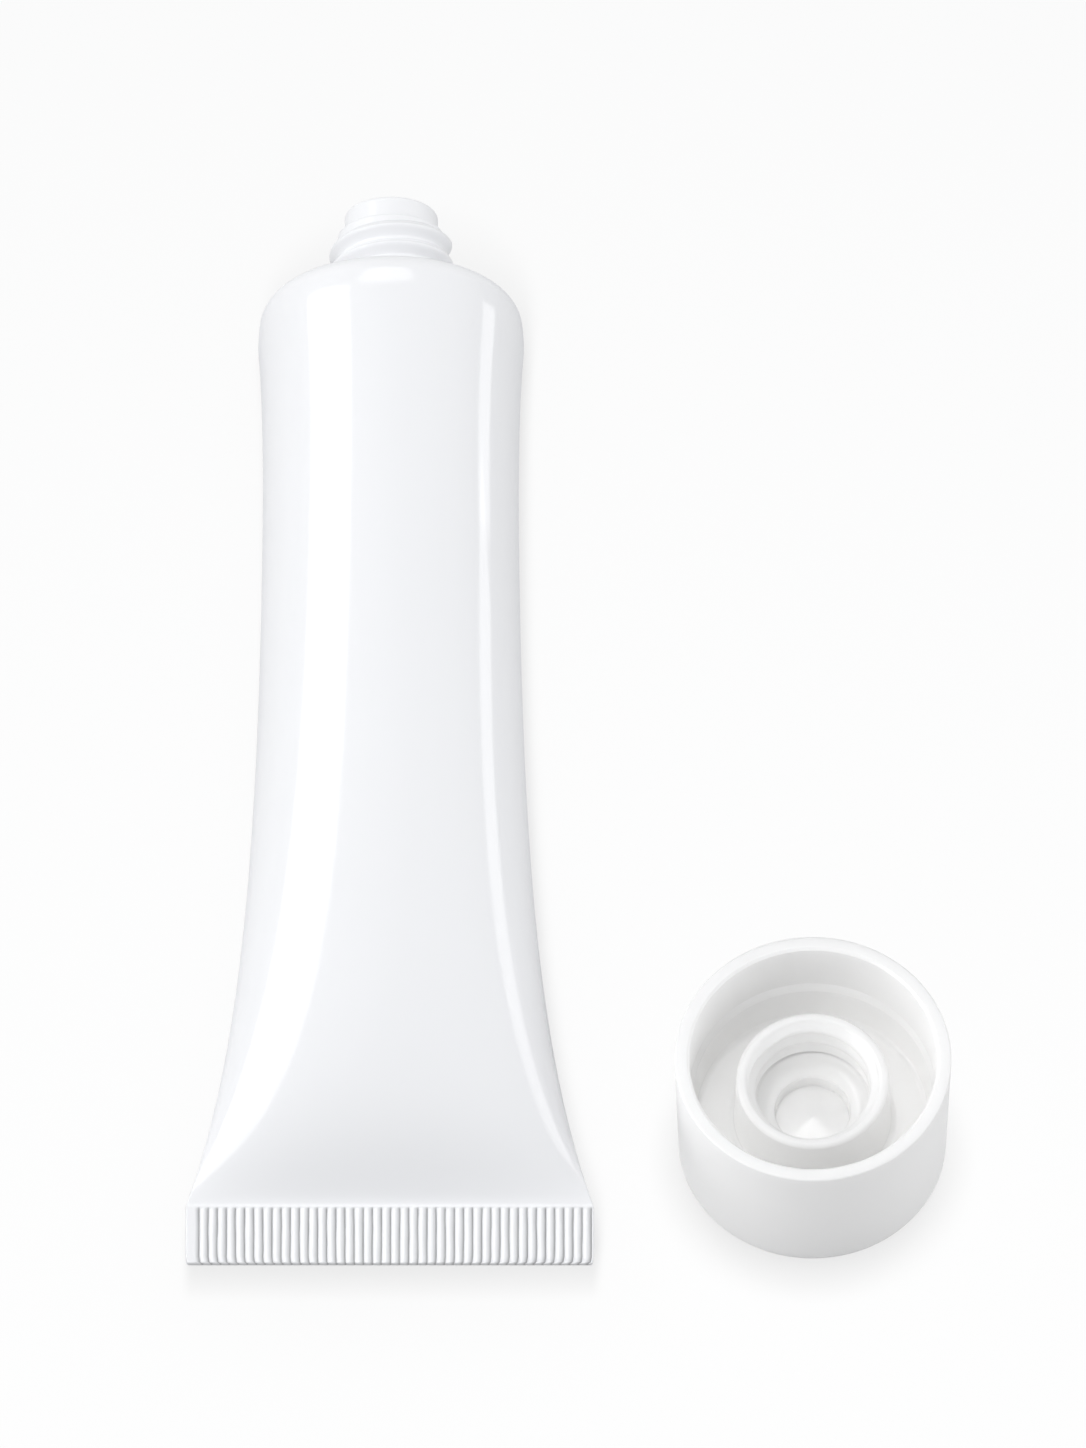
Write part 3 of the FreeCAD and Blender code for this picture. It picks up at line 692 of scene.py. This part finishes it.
class TUBE_OT_head(Operator):
    """Make the moulded shoulder with its threaded neck and tip"""

    bl_idname = "squeeze_tube.head"
    bl_label = "Shoulder and Neck"

    def execute(self, context):
        scene = context.scene
        head, thread, finish = scene.tube_head, scene.tube_thread, scene.tube_finish
        neck = neck_station()
        step = neck + head.neck_length
        outside = head.bore + 0.5 * MM
        profile = head_profile(head, scene.tube_sleeve)
        # The profile closes on itself, so its first point is repeated while its runs are divided.
        profile = np.vstack([profile, profile[:1]])
        profile = divided(profile, (neck - 0.4 * MM, step), (outside, math.inf), HEAD_ROW)[:-1]
        across, turn, along = turned_grid(profile, HEAD_COLUMNS)
        top = step - head.thread_end
        ridge = thread_height(turn, along, thread, top, head.thread_turn, head.thread_turns)
        across = across + np.where(across > outside, ridge_over(ridge, across, head.neck), 0.0)
        points = np.stack([across * np.sin(turn), along, across * np.cos(turn)], axis=-1)
        points = along_tube(points.reshape(-1, 3))
        faces = ring_faces(len(profile), HEAD_COLUMNS, True)
        material = plastic("head_plastic", finish.head, finish.head_gloss, MOULDED_GRAIN)
        surface_object("shoulder_and_neck", points, faces, material, "tube_head")
        return {"FINISHED"}


def ridge_over(ridge, across, root):
    """What a ridge adds to a surface that may already stand out from the ridge's root.

    With h for the ridge's height over that surface, it is the smooth larger of h and nothing: half the sum
    of h and the root of h squared plus the blend squared.
    """
    over = ridge - (across - root)
    added = 0.5 * (over + np.sqrt(over ** 2 + RIDGE_BLEND ** 2))
    return np.where(ridge > 0.0, added, 0.0) * smooth(ridge / RIDGE_START)


# ---------------------------------------------------------------- the cap

CAP_COLUMNS = 320  # columns round the axis
CAP_ROW = 0.09 * MM  # spacing of the rows along the thread


def cap_profile(cap):
    """The cap's profile from the middle of its closed end, up the outside and down into the well."""
    mouth_bore = cap.mouth - cap.rim_wall
    step_bore = mouth_bore - cap.step_width
    step = cap.height - cap.step_depth
    floor = cap.height - cap.floor_depth
    floor_bore = step_bore - cap.floor_draft
    collar = cap.collar_bore + cap.collar_wall
    rim = cap.height - cap.collar_depth
    well = cap.ledge_level - cap.well_depth
    collar_foot = collar + 0.2 * MM
    bore_end = cap.seal_level + 0.5 * MM
    small = 0.12 * MM
    return rounded_profile([
        (0.0, 0.0, 0.0, 0),
        (cap.mouth - cap.draft, 0.0, cap.base_edge, 10),
        (cap.mouth, cap.height, cap.rim_edge, 5),
        (mouth_bore + cap.rim_chamfer, cap.height, small, 4),
        (mouth_bore, cap.height - cap.rim_chamfer, small, 4),
        (mouth_bore, step, 2.0 * small, 4),
        (step_bore, step - cap.step_height, 2.0 * small, 4),
        (floor_bore, floor, cap.floor_corner, 8),
        (collar_foot, floor, cap.floor_corner, 8),
        (collar, rim, cap.collar_lip, 10),
        (cap.collar_bore, rim, cap.collar_lip, 10),
        (cap.collar_bore, bore_end, 2.0 * small, 4),
        (cap.seal_bore, cap.seal_level, 2.0 * small, 4),
        (cap.seal_bore, cap.ledge_level, cap.ledge_corner, 12),
        (cap.well, cap.ledge_level, small, 5),
        (cap.well, well, small, 4),
        (small, well + cap.well_cone * (1.0 - small / cap.well), 0.0, 0),
        (0.0, well + cap.well_cone, 0.0, 0),
    ], False)


class TUBE_OT_cap(Operator):
    """Make the screw cap, standing mouth up"""

    bl_idname = "squeeze_tube.cap"
    bl_label = "Screw Cap"

    def execute(self, context):
        scene = context.scene
        cap, thread, finish = scene.tube_cap, scene.tube_thread, scene.tube_finish
        rim = cap.height - cap.collar_depth
        bore = cap.collar_bore + 0.05 * MM
        profile = divided(cap_profile(cap), (cap.seal_level, rim), (0.0, bore), CAP_ROW)
        across, turn, along = turned_grid(profile, CAP_COLUMNS)
        ridge = thread_height(turn, along, thread, cap.thread_top, cap.thread_turn, cap.thread_turns)
        ridge = np.where((across < bore) & (across > cap.seal_bore), ridge, 0.0)
        across = across - np.minimum(ridge, np.maximum(across - cap.seal_bore, 0.0))
        points = np.stack([across * np.cos(turn), across * np.sin(turn), along], axis=-1)
        points = points.reshape(-1, 3) + np.array(MOUNTS["cap_end"]["pos_m"])
        faces = ring_faces(len(profile), CAP_COLUMNS, False)
        material = plastic("cap_plastic", finish.cap, finish.cap_gloss, MOULDED_GRAIN, glow=finish.glow)
        surface_object("screw_cap_moulding", points, faces, material, "screw_cap")
        return {"FINISHED"}


# ---------------------------------------------------------------- materials

def add_socket(group, name, kind, in_or_out, default=None):
    """One named socket on a node group."""
    socket = group.interface.new_socket(name=name, in_out=in_or_out, socket_type=kind)
    if default is not None:
        socket.default_value = default


def set_inputs(node, values):
    """Plain values on a node's own inputs, by name."""
    for name, value in values.items():
        node.inputs[name].default_value = value


def calculation(nodes, operation, socket=None, value=0.0):
    """A Math node with an operation, and a value on one of its numbered inputs."""
    node = nodes.new("ShaderNodeMath")
    node.operation = operation
    if socket is not None:
        node.inputs[socket].default_value = value
    return node


def polymer_skin():
    """Node group: the faint life of a moulded or extruded plastic skin.

    Slow clouds change the colour and the gloss by a little, and a fine grain gives a height. Groove darkens
    the colour by its value, which is painted shade.
    """
    group = bpy.data.node_groups.get("polymer_skin")
    if group is not None:
        return group
    group = bpy.data.node_groups.new("polymer_skin", "ShaderNodeTree")
    add_socket(group, "Place", "NodeSocketVector", "INPUT")
    add_socket(group, "Colour", "NodeSocketColor", "INPUT", (0.87, 0.87, 0.87, 1.0))
    add_socket(group, "Roughness", "NodeSocketFloat", "INPUT", 0.15)
    add_socket(group, "Cloud", "NodeSocketFloat", "INPUT", 0.01)
    add_socket(group, "Grain", "NodeSocketFloat", "INPUT", 900.0)
    add_socket(group, "Groove", "NodeSocketFloat", "INPUT", 0.0)
    add_socket(group, "Colour", "NodeSocketColor", "OUTPUT")
    add_socket(group, "Roughness", "NodeSocketFloat", "OUTPUT")
    add_socket(group, "Height", "NodeSocketFloat", "OUTPUT")
    nodes, links = group.nodes, group.links
    entry = nodes.new("NodeGroupInput")
    leave = nodes.new("NodeGroupOutput")
    clouds = nodes.new("ShaderNodeTexNoise")
    set_inputs(clouds, {"Scale": 45.0, "Detail": 3.0})
    grain = nodes.new("ShaderNodeTexNoise")
    set_inputs(grain, {"Detail": 2.0})
    centred = calculation(nodes, "SUBTRACT", 1, 0.5)
    strength = calculation(nodes, "MULTIPLY_ADD", 2, 1.0)
    lighter = calculation(nodes, "SUBTRACT")
    tinted = nodes.new("ShaderNodeVectorMath")
    tinted.operation = "SCALE"
    rough = calculation(nodes, "MULTIPLY_ADD", 1, 0.04)
    links.new(entry.outputs["Place"], clouds.inputs["Vector"])
    links.new(entry.outputs["Place"], grain.inputs["Vector"])
    links.new(entry.outputs["Grain"], grain.inputs["Scale"])
    links.new(clouds.outputs["Fac"], centred.inputs[0])
    links.new(centred.outputs[0], strength.inputs[0])
    links.new(entry.outputs["Cloud"], strength.inputs[1])
    links.new(entry.outputs["Colour"], tinted.inputs[0])
    links.new(strength.outputs[0], lighter.inputs[0])
    # Painted shade: the Groove input takes away from the colour's strength.
    links.new(entry.outputs["Groove"], lighter.inputs[1])
    links.new(lighter.outputs[0], tinted.inputs["Scale"])
    links.new(centred.outputs[0], rough.inputs[0])
    links.new(entry.outputs["Roughness"], rough.inputs[2])
    links.new(tinted.outputs[0], leave.inputs["Colour"])
    links.new(rough.outputs[0], leave.inputs["Roughness"])
    links.new(grain.outputs["Fac"], leave.inputs["Height"])
    return group


def plastic(name, base, roughness, grain_depth, groove=0.0, glow=0.0):
    """Glossy white plastic: the polymer skin on a plain shader, with a bump as high as grain_depth.

    Its gloss is a clear coat over a body that has none, and it fades at shallow angles. Groove is how much
    the groove attribute darkens the colour, which is painted shade in the pressed grooves and on the weld's
    free edge, and glow how far light spreads inside the plastic.
    """
    material = bpy.data.materials.new(name)
    material.use_nodes = True
    nodes, links = material.node_tree.nodes, material.node_tree.links
    shader = nodes["Principled BSDF"]
    place = nodes.new("ShaderNodeTexCoord")
    skin = nodes.new("ShaderNodeGroup")
    skin.node_tree = polymer_skin()
    set_inputs(skin, {"Colour": (*base, 1.0), "Roughness": roughness, "Cloud": 0.012, "Grain": 700.0})
    bump = nodes.new("ShaderNodeBump")
    set_inputs(bump, {"Strength": 1.0, "Distance": grain_depth})
    set_inputs(shader, {"IOR": 1.5, "Specular IOR Level": 0.0, "Coat IOR": 1.5, "Coat Roughness": roughness})
    facing = nodes.new("ShaderNodeLayerWeight")
    set_inputs(facing, {"Blend": 0.5})
    sheer = nodes.new("ShaderNodeMapRange")
    sheer.interpolation_type = "SMOOTHSTEP"
    set_inputs(sheer, {"From Min": 0.5, "From Max": 0.85, "To Min": 1.0, "To Max": 0.0})
    links.new(facing.outputs["Facing"], sheer.inputs["Value"])
    links.new(sheer.outputs["Result"], shader.inputs["Coat Weight"])
    if glow > 0.0:
        even = (1.0, 1.0, 1.0)
        set_inputs(shader, {"Subsurface Weight": 1.0, "Subsurface Radius": even, "Subsurface Scale": glow})
    # Painted shade: the groove attribute, scaled by groove, darkens the base colour.
    if groove > 0.0:
        pressed = nodes.new("ShaderNodeAttribute")
        pressed.attribute_name = "groove"
        darker = calculation(nodes, "MULTIPLY", 1, groove)
        links.new(pressed.outputs["Fac"], darker.inputs[0])
        links.new(darker.outputs[0], skin.inputs["Groove"])
    links.new(place.outputs["Object"], skin.inputs["Place"])
    links.new(skin.outputs["Colour"], shader.inputs["Base Color"])
    links.new(skin.outputs["Roughness"], shader.inputs["Roughness"])
    links.new(skin.outputs["Height"], bump.inputs["Height"])
    links.new(bump.outputs["Normal"], shader.inputs["Normal"])
    return material


def looked_at(nodes, links):
    """1 where a camera, a reflection or a view through glass looks at the surface, and 0 elsewhere."""
    path = nodes.new("ShaderNodeLightPath")
    total = calculation(nodes, "ADD")
    links.new(path.outputs["Is Camera Ray"], total.inputs[0])
    links.new(path.outputs["Is Glossy Ray"], total.inputs[1])
    whole = calculation(nodes, "ADD")
    whole.use_clamp = True
    links.new(total.outputs[0], whole.inputs[0])
    links.new(path.outputs["Is Transmission Ray"], whole.inputs[1])
    return whole.outputs[0]


def floor_material(settings):
    """Pale floor that keeps shadows: its own colour, and a plain lift where it is looked at."""
    material = bpy.data.materials.new("pale_floor")
    material.use_nodes = True
    nodes, links = material.node_tree.nodes, material.node_tree.links
    shader = nodes["Principled BSDF"]
    set_inputs(shader, {"Roughness": 1.0, "Specular IOR Level": 0.0, "Emission Color": (1.0, 1.0, 1.0, 1.0)})
    seen = looked_at(nodes, links)
    lift = calculation(nodes, "MULTIPLY", 1, settings.floor_lift)
    shown = nodes.new("ShaderNodeMix")
    shown.data_type = "RGBA"
    set_inputs(shown, {"A": (*[settings.floor] * 3, 1.0), "B": (*[settings.floor_shown] * 3, 1.0)})
    links.new(seen, lift.inputs[0])
    links.new(lift.outputs[0], shader.inputs["Emission Strength"])
    links.new(seen, shown.inputs["Factor"])
    links.new(shown.outputs["Result"], shader.inputs["Base Color"])
    return material


# ---------------------------------------------------------------- the studio

SLEEVE = ("sleeve",)
HEAD = ("shoulder_and_neck",)
CAP = ("screw_cap_moulding",)
FLOOR = ("floor",)
TUBE = SLEEVE + HEAD
PIECES = SLEEVE + HEAD + CAP

# Where lamps aim: the middle of the view, the middle of the cap, and the floor below it.
MIDDLE = (0.0, 0.0, 0.0)
CAP_MIDDLE = (0.03, -0.04, 0.01)
CAP_FOOT = (0.03, -0.04, 0.0)

# Soft lights that nothing mirrors: name, place, target, size, setting of the radiance, what each lights,
# and what casts its shadows.
SOFT_LIGHTS = (
    ("overhead_light", (-0.48, 0.3, 1.25), MIDDLE, (1.0, 1.0), "key", TUBE, TUBE),
    ("cap_light", (-0.1, -0.05, 1.3), MIDDLE, (0.8, 0.8), "cap_light", CAP, CAP),
    ("cap_glow_light", (-0.78, -0.3, 0.8), CAP_MIDDLE, (0.8, 0.8), "cap_through", CAP, FLOOR),
    ("floor_light", (-0.06, -0.58, 1.25), MIDDLE, (0.12, 0.65), "floor_light", FLOOR, SLEEVE),
    ("cap_shadow_light", (0.03, 0.085, 1.3), CAP_FOOT, (0.35, 0.35), "cap_shadow", FLOOR, CAP),
    ("left_fill", (-1.0, -0.15, 0.18), MIDDLE, (1.2, 0.6), "left_fill", PIECES, PIECES),
    ("right_fill", (1.0, -0.15, 0.18), MIDDLE, (1.2, 0.6), "right_fill", PIECES, PIECES),
    ("cap_left_fill", (-1.0, -0.1, 0.15), CAP_MIDDLE, (0.8, 0.6), "cap_left", CAP, CAP),
)

# Softboxes that are only mirrored: name, shape, place, target, size, roll in degrees, setting of the
# radiance, and what mirrors each.
SOFTBOXES = (
    ("left_softbox", "RECTANGLE", (-0.829, -0.08, 0.559), (0.0, -0.08, 0.0),
     (0.73, 1.44), 90.0, "left", SLEEVE + CAP),
    ("right_strip_upper", "RECTANGLE", (0.125, 0.108, 0.016), (0.0, 0.108, 0.016),
     (0.034, 0.036), 0.0, "strip", SLEEVE),
    ("right_strip_lower", "RECTANGLE", (0.125, 0.0235, 0.064), (0.0, 0.0235, 0.064),
     (0.17, 0.0273), -36.7, "strip", SLEEVE),
    ("back_softbox", "ELLIPSE", (-0.11, 0.77, 0.99), (-0.11, 0.05, 0.03),
     (0.9, 0.26), 0.0, "back", TUBE),
    ("neck_softbox", "RECTANGLE", (-0.73, -0.08, 0.68), (0.0, -0.08, 0.0),
     (0.3, 1.44), 90.0, "neck", HEAD),
    ("cap_softbox", "RECTANGLE", (0.0276, 0.376, 1.124), (0.0276, -0.044, 0.0),
     (0.26, 0.13), 0.0, "cap_mirrored", CAP),
)

FLOOR_REACH = 3.0
FLOOR_GAP = 0.05 * MM
SENSOR = 36.0  # width of the camera's sensor, in millimetres


def softbox(name, shape, place, target, size, roll, radiance):
    """A lamp whose flat face, of a shape and a size, looks from a place at a target and is rolled about that
    line by some degrees. Its power is pi times its radiance, its width and its height."""
    light = bpy.data.lights.new(name, "AREA")
    light.shape = shape
    light.size, light.size_y = size
    light.energy = radiance * math.pi * size[0] * size[1]
    lamp = bpy.data.objects.new(name, light)
    facing = Vector(target) - Vector(place)
    lamp.location = place
    facing = facing.to_track_quat("-Z", "Y") @ Quaternion((0.0, 0.0, 1.0), math.radians(roll))
    lamp.rotation_euler = facing.to_euler()
    lamp.visible_camera = False
    bpy.context.scene.collection.objects.link(lamp)
    return lamp


def light_only(lamp, lit, casting):
    """Keep a lamp's light to some pieces, and its shadows to those that some pieces cast."""
    receivers = bpy.data.collections.new(f"{lamp.name}_receivers")
    blockers = bpy.data.collections.new(f"{lamp.name}_blockers")
    for collection, pieces in ((receivers, lit), (blockers, casting)):
        for piece in pieces:
            collection.objects.link(bpy.data.objects[piece])
    lamp.light_linking.receiver_collection = receivers
    lamp.light_linking.blocker_collection = blockers


class TUBE_OT_stage(Operator):
    """Make the floor, the lights, the world and the camera"""

    bl_idname = "squeeze_tube.stage"
    bl_label = "Studio"

    def execute(self, context):
        scene = context.scene
        settings = scene.tube_studio
        self.make_floor(settings)
        self.make_world(scene, settings)
        self.make_lights(settings)
        self.make_camera(scene, settings)
        scene.view_settings.view_transform = "Standard"
        return {"FINISHED"}

    def make_lights(self, settings):
        """Soft lights that nothing mirrors, and softboxes that are only mirrored."""
        for name, place, target, size, setting, lit, casting in SOFT_LIGHTS:
            lamp = softbox(name, "RECTANGLE", place, target, size, 0.0, getattr(settings, setting))
            light_only(lamp, lit, casting)
            lamp.visible_glossy = False
        for name, shape, place, target, size, roll, setting, mirroring in SOFTBOXES:
            lamp = softbox(name, shape, place, target, size, roll, getattr(settings, setting))
            light_only(lamp, mirroring, PIECES)
            lamp.visible_diffuse = False
            lamp.visible_transmission = False

    def make_floor(self, settings):
        """A flat square floor just under the object."""
        mesh = bpy.data.meshes.new("floor")
        level = float(cad_bounds[0][2]) - FLOOR_GAP
        corners = [(x * FLOOR_REACH, y * FLOOR_REACH, level) for x, y in ((-1, -1), (1, -1), (1, 1), (-1, 1))]
        mesh.from_pydata(corners, [], [(0, 1, 2, 3)])
        mesh.materials.append(floor_material(settings))
        floor = bpy.data.objects.new("floor", mesh)
        bpy.context.scene.collection.objects.link(floor)

    def make_world(self, scene, settings):
        """Even cool light from all round, white where it is looked at."""
        world = bpy.data.worlds.new("studio")
        scene.world = world
        world.use_nodes = True
        nodes, links = world.node_tree.nodes, world.node_tree.links
        fill = nodes["Background"]
        set_inputs(fill, {"Color": (0.985, 0.99, 1.0, 1.0), "Strength": settings.fill})
        white = nodes.new("ShaderNodeBackground")
        set_inputs(white, {"Color": (1.0, 1.0, 1.0, 1.0), "Strength": 1.0})
        mix = nodes.new("ShaderNodeMixShader")
        links.new(looked_at(nodes, links), mix.inputs[0])
        links.new(fill.outputs[0], mix.inputs[1])
        links.new(white.outputs[0], mix.inputs[2])
        links.new(mix.outputs[0], nodes["World Output"].inputs["Surface"])

    def make_camera(self, scene, settings):
        """A long lens that looks down along the tube from its welded end.

        The view is taller than wide, so its height spans the sensor's width.
        """
        lens = bpy.data.cameras.new("camera")
        lens.lens = settings.lens
        lens.sensor_width = SENSOR
        away = settings.view_height / SENSOR * settings.lens
        lens.clip_start = 10.0 * MM
        lens.clip_end = away * 10.0
        camera = bpy.data.objects.new("camera", lens)
        back = Vector((0.0, -math.cos(settings.elevation), math.sin(settings.elevation)))
        camera.location = Vector(settings.aim) + back * away
        camera.rotation_euler = (math.pi / 2.0 - settings.elevation, 0.0, 0.0)
        scene.collection.objects.link(camera)
        scene.camera = camera


# ---------------------------------------------------------------- the add-on

class TUBE_PT_panel(Panel):
    """Lists the pieces of the squeeze tube"""

    bl_idname = "TUBE_PT_panel"
    bl_label = "Squeeze Tube"
    bl_space_type = "VIEW_3D"
    bl_region_type = "UI"
    bl_category = "Squeeze Tube"

    def draw(self, context):
        for operator in OPERATORS:
            self.layout.operator(operator.bl_idname)
        for name, group in SETTINGS.items():
            settings = getattr(context.scene, name)
            box = self.layout.box()
            box.label(text=group.__doc__.rstrip("."))
            for prop in group.__annotations__:
                box.prop(settings, prop)


SETTINGS = {
    "tube_sleeve": SleeveSizes,
    "tube_head": HeadSizes,
    "tube_cap": CapSizes,
    "tube_thread": ThreadSizes,
    "tube_finish": Finish,
    "tube_studio": StudioSettings,
}
OPERATORS = (TUBE_OT_sleeve, TUBE_OT_head, TUBE_OT_cap, TUBE_OT_stage)


def register():
    for group in SETTINGS.values():
        bpy.utils.register_class(group)
    for name, group in SETTINGS.items():
        setattr(bpy.types.Scene, name, PointerProperty(type=group))
    for operator in OPERATORS:
        bpy.utils.register_class(operator)
    bpy.utils.register_class(TUBE_PT_panel)


def unregister():
    bpy.utils.unregister_class(TUBE_PT_panel)
    for operator in reversed(OPERATORS):
        bpy.utils.unregister_class(operator)
    for name in SETTINGS:
        delattr(bpy.types.Scene, name)
    for group in SETTINGS.values():
        bpy.utils.unregister_class(group)


def main():
    register()
    bpy.ops.squeeze_tube.sleeve()
    bpy.ops.squeeze_tube.head()
    bpy.ops.squeeze_tube.cap()
    bpy.ops.squeeze_tube.stage()


if __name__ == "__main__":
    main()
